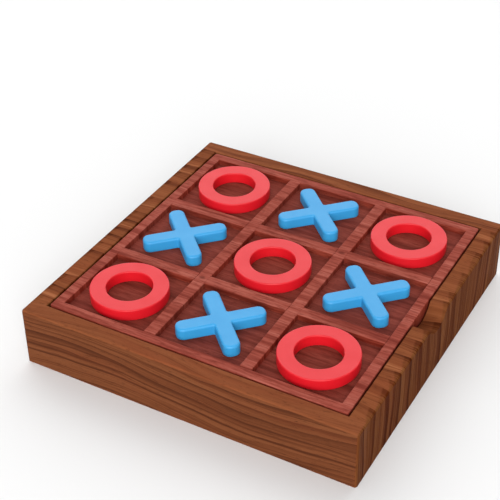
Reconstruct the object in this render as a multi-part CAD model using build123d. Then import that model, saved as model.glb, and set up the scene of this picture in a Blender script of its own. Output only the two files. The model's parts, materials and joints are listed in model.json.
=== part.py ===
from build123d import *
import os

# Tic tac toe set: a square wooden box, a lift-out tray with nine cells that closes
# it, and nine loose playing pieces, five rings and four crosses, one in each cell.
# The space under the tray holds the pieces when the set is put away.
# Millimetres, +Z up. The origin is the centre of the underside, +Y is the back,
# and the finger notch is in the right wall, on the +X side.

# ---- driving dimensions ----------------------------------------------------

box_size = 150.0            # outside, both ways
box_height = 27.0
wall = 7.5                  # thickness of the box walls, the rim seen from above
bottom_thickness = 3.0
bottom_let_in = 3.5         # how far the bottom panel reaches into each wall

tray_clearance = 0.75       # gap between the tray and the walls, on each side
tray_height = 7.5           # the tray's top is level with the rim
rail_width = 4.4            # the border of the tray
rib_width = 5.3             # the bars between the cells
cell_depth = 2.8
floor_let_in = 2.0          # how far the tray floor reaches under each rail
rib_groove = 1.0            # depth of the grooves in the tray floor that hold the ribs

ledge_width = 5.0           # the strips inside the box that carry the tray

notch_depth = 5.6           # finger notch, an arc cut through the right wall
notch_radius = 10.7

piece_thickness = 5.2
ring_outer_radius = 16.4
ring_inner_radius = 9.65
arm_length = 37.0           # a cross from tip to tip along one bar
arm_width = 7.0
arm_end_radius = 3.0        # plan radius of the corners at the tips
arm_crotch_radius = 0.8     # plan radius where the two bars meet

corner_round = 1.2          # upright corners of the box
rim_round = 1.0             # outer top edge of the box
inner_rim_round = 0.5       # inner top edge of the box
foot_chamfer = 0.3          # outer bottom edge of the box
tray_corner_round = 1.0     # upright corners of the tray
tray_round = 0.4            # edges of the rails and ribs
ring_round = 0.5            # edges of the rings
cross_round = 1.1           # upper edges of the crosses
cross_foot_round = 0.5      # lower edges of the crosses

# ---- worked out from them --------------------------------------------------

outer_half = box_size / 2
inner_half = outer_half - wall
bottom_half = inner_half + bottom_let_in

tray_half = inner_half - tray_clearance
tray_bottom = box_height - tray_height
cells_half = tray_half - rail_width
floor_half = cells_half + floor_let_in
floor_top = box_height - cell_depth
cell_size = (2 * cells_half - 2 * rib_width) / 3
cell_pitch = cell_size + rib_width
rib_offset = cell_pitch / 2
rib_bottom = floor_top - rib_groove
lap_height = (rib_bottom + box_height) / 2

beyond = 1.0                # how far cutting tools pass the faces they cut

# Column and row of the cell that each piece stands in, counted from the middle.
ring_cells = {
    "ring_front_left": (-1, -1),
    "ring_front_right": (1, -1),
    "ring_centre": (0, 0),
    "ring_back_left": (-1, 1),
    "ring_back_right": (1, 1),
}
cross_cells = {
    "cross_front": (0, -1),
    "cross_left": (-1, 0),
    "cross_right": (1, 0),
    "cross_back": (0, 1),
}


# ---- helpers ---------------------------------------------------------------

def block(x_range, y_range, z_range):
    """A box given by its low and high end along each axis."""
    ranges = (x_range, y_range, z_range)
    size = [high - low for low, high in ranges]
    middle = [(low + high) / 2 for low, high in ranges]
    return Pos(*middle) * Box(*size)


def slab(half, z_range):
    """A square slab centred on the Z axis."""
    return block((-half, half), (-half, half), z_range)


def plan_distance(edge):
    """How far an edge's middle is from the Z axis, along the farther of X and Y."""
    middle = edge.center()
    return max(abs(middle.X), abs(middle.Y))


def top_edges(solid):
    return solid.edges().group_by(Axis.Z)[-1]


def quarter_turns(solid, count):
    """The solid turned about the Z axis in steps of 90 degrees."""
    return Rot(0, 0, 90 * count) * solid


# ---- box -------------------------------------------------------------------

def box_frame():
    """The four walls in one ring, before it is divided at the corner joints."""
    frame = slab(outer_half, (0, box_height))
    frame = fillet(frame.edges().filter_by(Axis.Z), corner_round)
    frame = fillet(top_edges(frame), rim_round)
    frame = chamfer(frame.edges().group_by(Axis.Z)[0], foot_chamfer)
    frame -= slab(inner_half, (-beyond, box_height + beyond))
    inner_edges = [edge for edge in top_edges(frame) if plan_distance(edge) < inner_half + beyond / 2]
    frame = fillet(inner_edges, inner_rim_round)
    frame -= slab(bottom_half, (-beyond, bottom_thickness))
    return frame


def finger_notch():
    """The round bar that leaves an arc scoop in the middle of the right wall."""
    centre_height = box_height - notch_depth + notch_radius
    bar = Cylinder(notch_radius, wall + 2 * beyond, rotation=(0, 90, 0))
    return Pos(outer_half - wall / 2, 0, centre_height) * bar


def make_walls():
    """Front and back run the full width, and the sides are butted between them."""
    frame = box_frame()
    past = outer_half + beyond
    tall = (-beyond, box_height + beyond)
    front = frame & block((-past, past), (-past, -inner_half), tall)
    back = frame & block((-past, past), (inner_half, past), tall)
    left = frame & block((-past, -inner_half), (-inner_half, inner_half), tall)
    right = frame & block((inner_half, past), (-inner_half, inner_half), tall)
    right -= finger_notch()
    return {"front_wall": front, "back_wall": back, "left_wall": left, "right_wall": right}


def make_bottom():
    return {"bottom_panel": slab(bottom_half, (0, bottom_thickness))}


def make_ledges():
    """Strips on the bottom panel and against the walls, up to the tray's underside."""
    height = (bottom_thickness, tray_bottom)
    inside = inner_half - ledge_width
    long_strip = block((-inner_half, inner_half), (-inner_half, -inside), height)
    short_strip = block((inside, inner_half), (-inside, inside), height)
    return {
        "front_ledge": long_strip,
        "back_ledge": quarter_turns(long_strip, 2),
        "right_ledge": short_strip,
        "left_ledge": quarter_turns(short_strip, 2),
    }


# ---- tray ------------------------------------------------------------------

def make_tray_floor():
    """One board under the rails, with a groove for each rib."""
    floor = slab(floor_half, (tray_bottom, floor_top))
    half_rib = rib_width / 2
    for offset in (-rib_offset, rib_offset):
        across = (offset - half_rib, offset + half_rib)
        along = (-cells_half, cells_half)
        floor -= block(along, across, (rib_bottom, floor_top + beyond))
        floor -= block(across, along, (rib_bottom, floor_top + beyond))
    return {"tray_floor": floor}


def make_rails():
    """The tray's border, with a step along the underside for the floor board."""
    border = slab(tray_half, (tray_bottom, box_height))
    border -= slab(cells_half, (tray_bottom - beyond, box_height + beyond))
    border = fillet(border.edges().filter_by(Axis.Z).group_by(plan_distance)[-1], tray_corner_round)
    border = fillet(top_edges(border), tray_round)
    border -= slab(floor_half, (tray_bottom - beyond, floor_top))
    past = tray_half + beyond
    tall = (tray_bottom - beyond, box_height + beyond)
    front = border & block((-past, past), (-past, -cells_half), tall)
    right = border & block((cells_half, past), (-cells_half, cells_half), tall)
    return {
        "tray_front_rail": front,
        "tray_back_rail": quarter_turns(front, 2),
        "tray_right_rail": right,
        "tray_left_rail": quarter_turns(right, 2),
    }


def rib(lap_range):
    """A bar along X with eased top edges and two half-depth laps for the bars it crosses."""
    half_rib = rib_width / 2
    bar = block((-cells_half, cells_half), (-half_rib, half_rib), (rib_bottom, box_height))
    bar = fillet(top_edges(bar).filter_by(Axis.X), tray_round)
    for offset in (-rib_offset, rib_offset):
        width = (offset - half_rib, offset + half_rib)
        bar -= block(width, (-half_rib - beyond, half_rib + beyond), lap_range)
    return bar


def make_ribs():
    """The bars along X are cut from above, and those along Y from below."""
    lower = rib((lap_height, box_height + beyond))
    upper = quarter_turns(rib((rib_bottom - beyond, lap_height)), 1)
    return {
        "tray_front_rib": Pos(0, -rib_offset, 0) * lower,
        "tray_back_rib": Pos(0, rib_offset, 0) * lower,
        "tray_left_rib": Pos(-rib_offset, 0, 0) * upper,
        "tray_right_rib": Pos(rib_offset, 0, 0) * upper,
    }


# ---- playing pieces --------------------------------------------------------

def ring():
    """A flat ring standing on z = 0, with rounded edges."""
    disc = Cylinder(ring_outer_radius, piece_thickness)
    disc -= Cylinder(ring_inner_radius, piece_thickness + 2 * beyond)
    disc = fillet(disc.edges().filter_by(GeomType.CIRCLE), ring_round)
    return Pos(0, 0, piece_thickness / 2) * disc


def cross():
    """Two bars across each other along the cell's diagonals, standing on z = 0."""
    bar = RectangleRounded(arm_length, arm_width, arm_end_radius)
    outline = Rot(0, 0, 45) * bar + Rot(0, 0, -45) * bar
    solid = extrude(outline, piece_thickness)
    crotches = solid.edges().filter_by(Axis.Z).filter_by(lambda edge: plan_distance(edge) < arm_width)
    solid = fillet(crotches, arm_crotch_radius)
    solid = fillet(top_edges(solid), cross_round)
    return fillet(solid.edges().group_by(Axis.Z)[0], cross_foot_round)


def make_pieces():
    pieces = {}
    for shape, cells in ((ring(), ring_cells), (cross(), cross_cells)):
        for name, (column, row) in cells.items():
            pieces[name] = Pos(column * cell_pitch, row * cell_pitch, floor_top) * shape
    return pieces


# ---- one STEP file for each piece ------------------------------------------

parts = {
    **make_walls(),
    **make_bottom(),
    **make_ledges(),
    **make_tray_floor(),
    **make_rails(),
    **make_ribs(),
    **make_pieces(),
}

os.makedirs("parts", exist_ok=True)
for name, solid in parts.items():
    solid.label = name
    export_step(solid, f"parts/{name}.step")
print(len(parts), "parts, cell", round(cell_size, 3), "mm, pitch", round(cell_pitch, 3), "mm")
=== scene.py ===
import json
import math

import bpy
from mathutils import Matrix, Vector


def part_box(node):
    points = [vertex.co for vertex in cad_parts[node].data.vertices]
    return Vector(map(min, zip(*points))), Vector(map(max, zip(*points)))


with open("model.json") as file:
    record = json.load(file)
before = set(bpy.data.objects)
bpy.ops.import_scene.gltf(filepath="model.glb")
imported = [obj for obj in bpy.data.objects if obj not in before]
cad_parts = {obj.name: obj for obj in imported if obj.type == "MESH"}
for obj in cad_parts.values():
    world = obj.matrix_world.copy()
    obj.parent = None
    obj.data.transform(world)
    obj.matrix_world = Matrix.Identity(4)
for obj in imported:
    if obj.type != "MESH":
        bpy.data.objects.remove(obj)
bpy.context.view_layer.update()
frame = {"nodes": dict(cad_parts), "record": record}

# Looks for the tic tac toe set: a walnut box, a red wood tray and plastic pieces.
# Places are in metres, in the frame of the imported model. The wood patterns are worked
# out in millimetres in that same frame, and the grain of all the wood runs along X.

bodies = frame["record"]["behaviour"]["bodies"]

box_nodes = bodies["box"]
tray_nodes = bodies["tray"]
ring_nodes = [name for name in frame["nodes"] if name.startswith("ring_")]
cross_nodes = [name for name in frame["nodes"] if name.startswith("cross_")]

mm_per_metre = 1000.0
wall_low, wall_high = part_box("front_wall")
cross_low, cross_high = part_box("cross_right")
rim_height = mm_per_metre * wall_high.z
outer_edge = mm_per_metre * wall_high.x
cell_pitch = mm_per_metre * (cross_low.x + cross_high.x) / 2


# ---- colours ---------------------------------------------------------------

def srgb(red, green, blue):
    """A colour given in 0-255 display values, as the linear colour that shaders take."""
    def linear(value):
        share = value / 255
        return share / 12.92 if share <= 0.04045 else ((share + 0.055) / 1.055) ** 2.4
    return (linear(red), linear(green), linear(blue), 1.0)


walnut_shade_places = (0.0, 0.2, 0.52, 0.8, 1.0)
walnut_shades = (
    srgb(164, 101, 66),
    srgb(139, 80, 49),
    srgb(127, 70, 42),
    srgb(106, 56, 33),
    srgb(90, 46, 27),
)
walnut_warm = srgb(130, 63, 38)
walnut_fibre = srgb(88, 44, 24)
walnut_pore = srgb(58, 28, 15)
walnut_edge_highlight = srgb(149, 89, 56)

rail_light = srgb(172, 94, 80)
rail_middle = srgb(152, 73, 60)
rail_dark = srgb(118, 48, 38)
rail_fleck = srgb(114, 46, 36)
tray_floor_light = srgb(142, 69, 57)
tray_floor_middle = srgb(128, 58, 48)
tray_floor_dark = srgb(100, 42, 33)
tray_floor_fleck = srgb(106, 46, 37)
knot_dark = srgb(78, 26, 20)

red = srgb(220, 18, 33)
deep_red = srgb(211, 13, 27)
blue = srgb(51, 157, 216)
deep_blue = srgb(44, 147, 209)
white = (1.0, 1.0, 1.0, 1.0)
paper_white = (0.86, 0.86, 0.86, 1.0)

# Tints multiply the colour under them.
walnut_front_painted_shade_tint = (0.76, 0.82, 0.84, 1.0)
walnut_end_grain_and_shade_light_tint = (0.69, 0.76, 0.62, 1.0)
walnut_end_grain_and_shade_dark_tint = (0.43, 0.29, 0.11, 1.0)
notch_painted_shade_tint = (0.74, 0.70, 0.64, 1.0)
tray_upright_painted_shade_tint = (0.76, 0.56, 0.48, 1.0)


# ---- shader helpers --------------------------------------------------------

class Shader:
    """One material's node tree, with a short call for each kind of node that it needs."""

    def __init__(self, name):
        self.material = bpy.data.materials.new(name)
        self.material.use_nodes = True
        self.nodes = self.material.node_tree.nodes
        self.links = self.material.node_tree.links
        self.surface = self.nodes["Principled BSDF"]

    def feed(self, socket, value):
        """Links a socket to another node's output, or sets it to a number or colour."""
        if isinstance(value, bpy.types.NodeSocket):
            self.links.new(value, socket)
        else:
            socket.default_value = value

    def add(self, kind, settings=None, **inputs):
        node = self.nodes.new("ShaderNode" + kind)
        for key, value in (settings or {}).items():
            setattr(node, key, value)
        for key, value in inputs.items():
            self.feed(node.inputs[key], value)
        return node

    def math(self, operation, *values):
        node = self.add("Math", {"operation": operation})
        for socket, value in zip(node.inputs, values):
            self.feed(socket, value)
        return node.outputs[0]

    def vector(self, x, y, z):
        return self.add("CombineXYZ", X=x, Y=y, Z=z).outputs[0]

    def noise(self, vector, scale=1.0, detail=2.0, roughness=0.5):
        node = self.add("TexNoise", Vector=vector, Scale=scale, Detail=detail, Roughness=roughness)
        return node.outputs["Fac"]

    def ramp(self, value, places, colours):
        """Blends through the colours as the value passes their places, from 0 to 1."""
        node = self.add("ValToRGB", Fac=value)
        elements = node.color_ramp.elements
        while len(elements) < len(places):
            elements.new(0.5)
        for element, place, colour in zip(elements, places, colours):
            element.position = place
            element.color = colour
        return node.outputs["Color"]

    def mix(self, share, first, second, blend="MIX"):
        """The first colour at share 0 and the second at share 1."""
        node = self.add("MixRGB", {"blend_type": blend}, Fac=share)
        self.feed(node.inputs["Color1"], first)
        self.feed(node.inputs["Color2"], second)
        return node.outputs[0]

    def tint(self, share, colour, tint):
        return self.mix(share, colour, tint, "MULTIPLY")

    def pick(self, share, first, second):
        """The first number at share 0 and the second at share 1."""
        return self.math("ADD", first, self.math("MULTIPLY", share, self.math("SUBTRACT", second, first)))

    def span(self, value, low, high, to_low=0.0, to_high=1.0):
        """Maps low..high to to_low..to_high, held at both ends."""
        node = self.add("MapRange")
        ends = {"From Min": low, "From Max": high, "To Min": to_low, "To Max": to_high}
        for key, number in ends.items():
            node.inputs[key].default_value = number
        self.feed(node.inputs["Value"], value)
        return node.outputs[0]

    def bump(self, height, depth):
        """Roughens the surface by a pattern whose height 1 is that many metres."""
        node = self.add("Bump", Distance=depth, Height=height)
        self.feed(self.surface.inputs["Normal"], node.outputs[0])

    def set(self, **inputs):
        for key, value in inputs.items():
            self.feed(self.surface.inputs[key.replace("_", " ")], value)


# ---- wood ------------------------------------------------------------------

class Wood(Shader):
    """Wood with its grain along X, worked out in millimetres in the set's own frame.

    Growth layers cross the top and the two ends as lines of constant Y, and cross the
    front and back as lines of constant height. The board is a distance by which the
    pattern is moved across the grain, so that boards differ. A share is 1 on the kind
    of surface that it names and 0 elsewhere."""

    def __init__(self, name, board):
        super().__init__(name)
        coordinates = self.add("TexCoord")
        place = self.add("SeparateXYZ", Vector=coordinates.outputs["Object"])
        facing = self.add("SeparateXYZ", Vector=coordinates.outputs["Normal"])
        self.x, self.y, self.z = [
            self.math("MULTIPLY", place.outputs[axis], mm_per_metre) for axis in "XYZ"
        ]
        facing_x, facing_y, facing_z = [self.math("ABSOLUTE", facing.outputs[axis]) for axis in "XYZ"]
        self.upright_share = self.span(facing_z, 0.6, 0.3)
        self.end_share = self.span(facing_x, 0.15, 0.6)
        not_end = self.math("SUBTRACT", 1.0, self.end_share)
        self.front_share = self.math("MULTIPLY", self.upright_share, not_end)
        flattest = self.math("MAXIMUM", self.math("MAXIMUM", facing_x, facing_y), facing_z)
        self.edge_highlight_share = self.span(flattest, 0.97, 0.8)
        on_front = self.math("GREATER_THAN", facing_y, 0.9)
        across = self.pick(on_front, self.y, self.z)
        third = self.pick(on_front, self.z, self.y)
        self.place = (self.math("ADD", across, board), self.x, third)

    def streaks(self, width, length, shift=0.0, detail=2.0, roughness=0.5):
        """Noise in marks that wide across the grain and that long along it.

        The shift moves on to other noise, so that two patterns don't follow each other."""
        across, along, third = self.place
        vector = self.vector(
            self.math("ADD", self.math("DIVIDE", across, width), shift),
            self.math("DIVIDE", along, length),
            self.math("DIVIDE", third, length),
        )
        return self.noise(vector, detail=detail, roughness=roughness)

    def bend(self, width, length, amount, shift):
        """Bends the grain lines sideways by up to that amount, in sways that wide and long."""
        across, along, third = self.place
        sway = self.math("SUBTRACT", self.streaks(width, length, shift), 0.5)
        self.place = (self.math("ADD", across, self.math("MULTIPLY", sway, 2 * amount)), along, third)

    def sweep(self, length, amount, start):
        """Runs the grain lines in long waves, falling from that place along X."""
        across, along, third = self.place
        turn = self.math("MULTIPLY", self.math("SUBTRACT", along, start), 2 * math.pi / length)
        wave = self.math("MULTIPLY", self.math("SINE", turn), amount)
        self.place = (self.math("ADD", across, wave), along, third)

    def vein(self, height, half_width):
        """One grain line at that height: 1 in its core and 0 outside."""
        core = 0.2 * half_width
        gap = self.math("ABSOLUTE", self.math("SUBTRACT", self.place[0], height))
        return self.span(gap, half_width, core)

    def growth(self, period, drift):
        """Growth layers: 0 to 1 across each one, then a sharp edge.

        Slow noise moves them by up to that drift, counted in layers, so they are uneven."""
        uneven = self.streaks(width=3.2 * period, length=150.0, shift=17.9, detail=1.0)
        even_count = self.math("DIVIDE", self.place[0], period)
        count = self.math("ADD", even_count, self.math("MULTIPLY", uneven, drift))
        return self.math("FRACT", count)

    def knot(self, x, y):
        """A small spot, longer along the grain: 0.6 in its middle and 0 outside."""
        half_length, half_width = 1.9, 1.2
        along = self.math("DIVIDE", self.math("SUBTRACT", self.x, x), half_length)
        across = self.math("DIVIDE", self.math("SUBTRACT", self.y, y), half_width)
        squares = self.math("ADD", self.math("POWER", along, 2.0), self.math("POWER", across, 2.0))
        return self.span(self.math("SQRT", squares), 1.0, 0.4, 0.0, 0.6)

    def finish(self, colour, fibres, pores, roughness, depth, ior=1.15):
        """Oiled surface, duller on the fibres and open at the pores, with a weak sheen."""
        self.set(Base_Color=colour, Specular_IOR_Level=0.15, IOR=ior)
        self.set(Roughness=self.span(fibres, 0.3, 0.7, roughness, roughness + 0.14))
        height = self.math("SUBTRACT", self.math("MULTIPLY", fibres, 0.5), pores)
        self.bump(height, depth)


# ---- walnut ----------------------------------------------------------------

def walnut_tone(wood, layer, veins):
    """How dark the wood is, about 0 to 1: growth layers, soft bands, fine lines and veins."""
    strength_noise = wood.streaks(width=6.0, length=120.0, shift=2.6, detail=1.0)
    strength = wood.span(strength_noise, 0.35, 0.65, 0.15, 0.7)
    tone = wood.math("MULTIPLY", wood.math("POWER", layer, 2.0), strength)
    band_noise = wood.streaks(width=2.8, length=140.0, detail=3.0, roughness=0.55)
    tone = wood.math("ADD", tone, wood.span(band_noise, 0.32, 0.68, 0.0, 0.5))
    line_noise = wood.streaks(width=0.9, length=170.0, shift=6.6, detail=1.0)
    tone = wood.math("ADD", tone, wood.span(line_noise, 0.58, 0.7, 0.0, 0.35))
    for height in veins:
        vein = wood.vein(height, half_width=0.9)
        tone = wood.math("ADD", tone, wood.math("MULTIPLY", vein, 0.45))
    return tone


def walnut_colour(wood, tone):
    colour = wood.ramp(wood.span(tone, -0.25, 1.0), walnut_shade_places, walnut_shades)
    warmth = wood.streaks(width=10.0, length=60.0, shift=5.1, detail=1.0)
    return wood.mix(wood.span(warmth, 0.5, 0.72, 0.0, 0.4), colour, walnut_warm)


def walnut_side_details(wood, colour, end_grain_and_shade_colour, layer, stepped):
    """The stepped look of the outer edge, and painted shade in the finger notch."""
    # Each layer runs over the edge a little farther as it darkens, which looks like small steps.
    reach = wood.math("ADD", wood.math("ABSOLUTE", wood.x), wood.math("MULTIPLY", layer, stepped))
    colour = wood.mix(wood.span(reach, outer_edge - 0.8, outer_edge, 0.0, 0.6), colour, end_grain_and_shade_colour)
    # Painted shade: the notch, which is below the rim and faces neither end, is darkened as if in shade.
    below_rim = wood.span(wood.z, rim_height - 0.3, rim_height - 2.5)
    off_end = wood.span(wood.end_share, 0.5, 0.0)
    return wood.tint(wood.math("MULTIPLY", below_rim, off_end), colour, notch_painted_shade_tint)


def walnut(name, board, layers, top_contrast, top_lift=0.0, sway=8.0, veins=(), stepped=0.0, ior=1.15):
    """Oiled walnut. The ends are darker than the tops (end grain and painted shade), the front and back
    in between (painted shade).

    Lengths are in millimetres: layers is the width of a growth layer, sway how far the
    grain lines bend sideways, veins the heights of single dark lines, and stepped how
    far the layers run over the outer edge of a side wall. On the tops, the grain's
    contrast is multiplied by top_contrast, and top_lift makes them lighter."""
    wood = Wood(name, board)
    wood.bend(width=32.0, length=80.0, amount=sway, shift=31.7)
    wood.bend(width=7.0, length=26.0, amount=0.8, shift=12.4)
    if veins:
        wood.sweep(length=130.0, amount=3.0, start=-2.5)

    layer = wood.growth(layers, drift=3.0)
    tone = walnut_tone(wood, layer, veins)
    tone = wood.math("MULTIPLY", tone, wood.pick(wood.upright_share, top_contrast, 1.0))
    tone = wood.math("SUBTRACT", tone, wood.pick(wood.upright_share, top_lift, 0.0))
    colour = walnut_colour(wood, tone)

    fibres = wood.streaks(width=0.55, length=18.0, shift=3.3, detail=3.0, roughness=0.6)
    colour = wood.mix(wood.span(fibres, 0.45, 0.7, 0.0, 0.35), colour, walnut_fibre)
    pores = wood.span(wood.streaks(width=0.24, length=3.2, shift=8.9, detail=1.0), 0.66, 0.74)
    colour = wood.mix(wood.math("MULTIPLY", pores, 0.5), colour, walnut_pore)
    # Painted highlight: the rounded edges are lightened as if catching the light.
    colour = wood.mix(wood.math("MULTIPLY", wood.edge_highlight_share, 0.15), colour, walnut_edge_highlight)

    # Painted shade: the front and back faces are darkened against the tops, as if less lit.
    front_shaded_colour = wood.tint(1.0, colour, walnut_front_painted_shade_tint)
    # The ends are darker, partly as end grain and partly by painted shade, as if turned away from the
    # light.
    end_grain_and_shade_tint = wood.ramp(tone, (0.2, 0.7), (walnut_end_grain_and_shade_light_tint, walnut_end_grain_and_shade_dark_tint))
    end_grain_and_shade_colour = wood.tint(1.0, colour, end_grain_and_shade_tint)
    colour = wood.mix(wood.front_share, colour, front_shaded_colour)
    colour = wood.mix(wood.end_share, colour, end_grain_and_shade_colour)
    if stepped:
        colour = walnut_side_details(wood, colour, end_grain_and_shade_colour, layer, stepped)

    wood.finish(colour, fibres, pores, roughness=0.5, depth=0.00006, ior=ior)
    return wood.material


# ---- red wood --------------------------------------------------------------

def red_wood(name, light, middle, dark, fleck, knots=()):
    """Stained hardwood with short dark flecks, and small knots where two bars cross."""
    wood = Wood(name, board=0.0)
    wood.bend(width=24.0, length=60.0, amount=1.6, shift=31.7)

    bands = wood.streaks(width=2.2, length=42.0, detail=3.0, roughness=0.6)
    colour = wood.ramp(bands, (0.3, 0.48, 0.68), (dark, middle, light))
    flecks = wood.streaks(width=0.6, length=6.0, shift=4.2, detail=2.0, roughness=0.6)
    colour = wood.mix(wood.span(flecks, 0.48, 0.66, 0.0, 0.7), colour, fleck)
    pores = wood.span(wood.streaks(width=0.3, length=2.4, shift=9.7, detail=1.0), 0.64, 0.74)
    colour = wood.mix(wood.math("MULTIPLY", pores, 0.5), colour, dark)
    for column, row in knots:
        spot = wood.knot(column * cell_pitch / 2, row * cell_pitch / 2)
        colour = wood.mix(spot, colour, knot_dark)
    # Painted shade: the upright faces, mostly the inner walls of the cells, are darkened as if in shade.
    colour = wood.tint(wood.upright_share, colour, tray_upright_painted_shade_tint)

    wood.finish(colour, flecks, pores, roughness=0.44, depth=0.00005)
    return wood.material


# ---- plastic ---------------------------------------------------------------

def plastic(name, colour, deep):
    """Moulded satin plastic: faint mottling and the fine texture of the mould."""
    shader = Shader(name)
    place = shader.add("TexCoord").outputs["Object"]
    mottle = shader.noise(place, scale=140.0)
    skin = shader.noise(place, scale=2600.0)
    shader.set(Base_Color=shader.mix(shader.span(mottle, 0.35, 0.65, 0.0, 0.35), colour, deep))
    shader.set(Roughness=shader.span(mottle, 0.3, 0.7, 0.44, 0.5), Specular_IOR_Level=0.5)
    shader.bump(skin, depth=0.000012)
    return shader.material


# ---- a material for each piece ---------------------------------------------

def paint(nodes, material):
    for name in nodes:
        mesh = frame["nodes"][name].data
        mesh.materials.clear()
        mesh.materials.append(material)


front_wall_material = walnut("walnut_front_wall", board=0.0, layers=4.4, top_contrast=0.6,
                             sway=4.0, veins=(8.8, 11.9))
back_wall_material = walnut("walnut_back_wall", board=70.0, layers=4.4, top_contrast=1.3, top_lift=0.12)
side_wall_material = walnut("walnut_side_walls", board=0.0, layers=9.5, top_contrast=1.35,
                            top_lift=0.27, stepped=2.6, ior=1.1)
inside_material = walnut("walnut_inside", board=260.0, layers=5.5, top_contrast=0.85)
tray_material = red_wood("red_wood_rails", rail_light, rail_middle, rail_dark, rail_fleck,
                         knots=((-1, -1), (1, 1)))
tray_floor_material = red_wood("red_wood_floor", tray_floor_light, tray_floor_middle, tray_floor_dark,
                               tray_floor_fleck)
red_material = plastic("red_plastic", red, deep_red)
blue_material = plastic("blue_plastic", blue, deep_blue)

paint(["front_wall"], front_wall_material)
paint(["back_wall"], back_wall_material)
paint(["left_wall", "right_wall"], side_wall_material)
paint([name for name in box_nodes if not name.endswith("_wall")], inside_material)
paint([name for name in tray_nodes if name != "tray_floor"], tray_material)
paint(["tray_floor"], tray_floor_material)
paint(ring_nodes, red_material)
paint(cross_nodes, blue_material)


# ---- floor, lights and camera ----------------------------------------------

def make_studio_floor(half):
    """A square sheet of matt paper at the underside of the set."""
    corners = [(-half, -half, 0), (half, -half, 0), (half, half, 0), (-half, half, 0)]
    mesh = bpy.data.meshes.new("studio_floor")
    mesh.from_pydata(corners, [], [(0, 1, 2, 3)])
    floor = bpy.data.objects.new("studio_floor", mesh)
    bpy.context.scene.collection.objects.link(floor)
    shader = Shader("studio_paper")
    shader.set(Base_Color=paper_white, Roughness=0.9)
    mesh.materials.append(shader.material)
    floor.location.z = wall_low.z


def direction(azimuth, elevation):
    """Unit vector towards a place seen from the set, azimuth 0 in front and 90 to the right."""
    turn = math.radians(azimuth)
    rise = math.radians(elevation)
    return Vector((math.sin(turn) * math.cos(rise), -math.cos(turn) * math.cos(rise), math.sin(rise)))


def make_softbox(name, azimuth, elevation, distance, size, power):
    """A rectangular light that far from the set and turned to face it."""
    light = bpy.data.lights.new(name, "AREA")
    light.shape = "RECTANGLE"
    light.size, light.size_y = size
    light.energy = power
    softbox = bpy.data.objects.new(name, light)
    bpy.context.scene.collection.objects.link(softbox)
    back = direction(azimuth, elevation)
    softbox.location = back * distance
    softbox.rotation_euler = back.to_track_quat("Z", "Y").to_euler()


def make_world(overhead_strength, horizon_strength, haze_top):
    """White light from all round.

    It is strongest at and below the horizon, for a pale backdrop in low views, and
    falls to the overhead strength at haze_top degrees."""
    world = bpy.data.worlds.new("studio")
    world.use_nodes = True
    nodes = world.node_tree.nodes
    links = world.node_tree.links
    background = nodes["Background"]
    background.inputs["Color"].default_value = white
    coordinates = nodes.new("ShaderNodeTexCoord")
    sky_direction = nodes.new("ShaderNodeSeparateXYZ")
    fade = nodes.new("ShaderNodeMapRange")
    fade.inputs["From Max"].default_value = math.sin(math.radians(haze_top))
    fade.inputs["To Min"].default_value = horizon_strength
    fade.inputs["To Max"].default_value = overhead_strength
    links.new(coordinates.outputs["Generated"], sky_direction.inputs["Vector"])
    links.new(sky_direction.outputs["Z"], fade.inputs["Value"])
    links.new(fade.outputs[0], background.inputs["Strength"])
    bpy.context.scene.world = world


def make_camera(azimuth, elevation, roll, target, distance, lens):
    """Looks at the target from that direction. The lens is in millimetres, for a 36 mm sensor."""
    camera_data = bpy.data.cameras.new("camera")
    camera_data.sensor_width = 36.0
    camera_data.lens = lens
    camera_data.clip_start = 0.01
    camera = bpy.data.objects.new("camera", camera_data)
    bpy.context.scene.collection.objects.link(camera)
    back = direction(azimuth, elevation)
    camera.location = target + back * distance
    turned = back.to_track_quat("Z", "Y").to_matrix().to_4x4()
    camera.rotation_euler = (turned @ Matrix.Rotation(math.radians(roll), 4, "Z")).to_euler()
    bpy.context.scene.camera = camera


bpy.context.scene.view_settings.view_transform = "Standard"
make_studio_floor(half=4.0)
make_world(overhead_strength=0.38, horizon_strength=1.0, haze_top=9.0)
make_softbox("back_sheen", azimuth=-150, elevation=38, distance=5.2, size=(8.8, 6.4), power=264.0)
make_softbox("front_key", azimuth=24, elevation=28, distance=6.4, size=(5.6, 4.4), power=448.0)

# The view was fitted to the photograph: from the front and to the right, looking down.
make_camera(azimuth=29.48, elevation=35.85, roll=-0.66,
            target=Vector((-0.0219, 0.0194, 0.015)), distance=0.5492, lens=88.8)
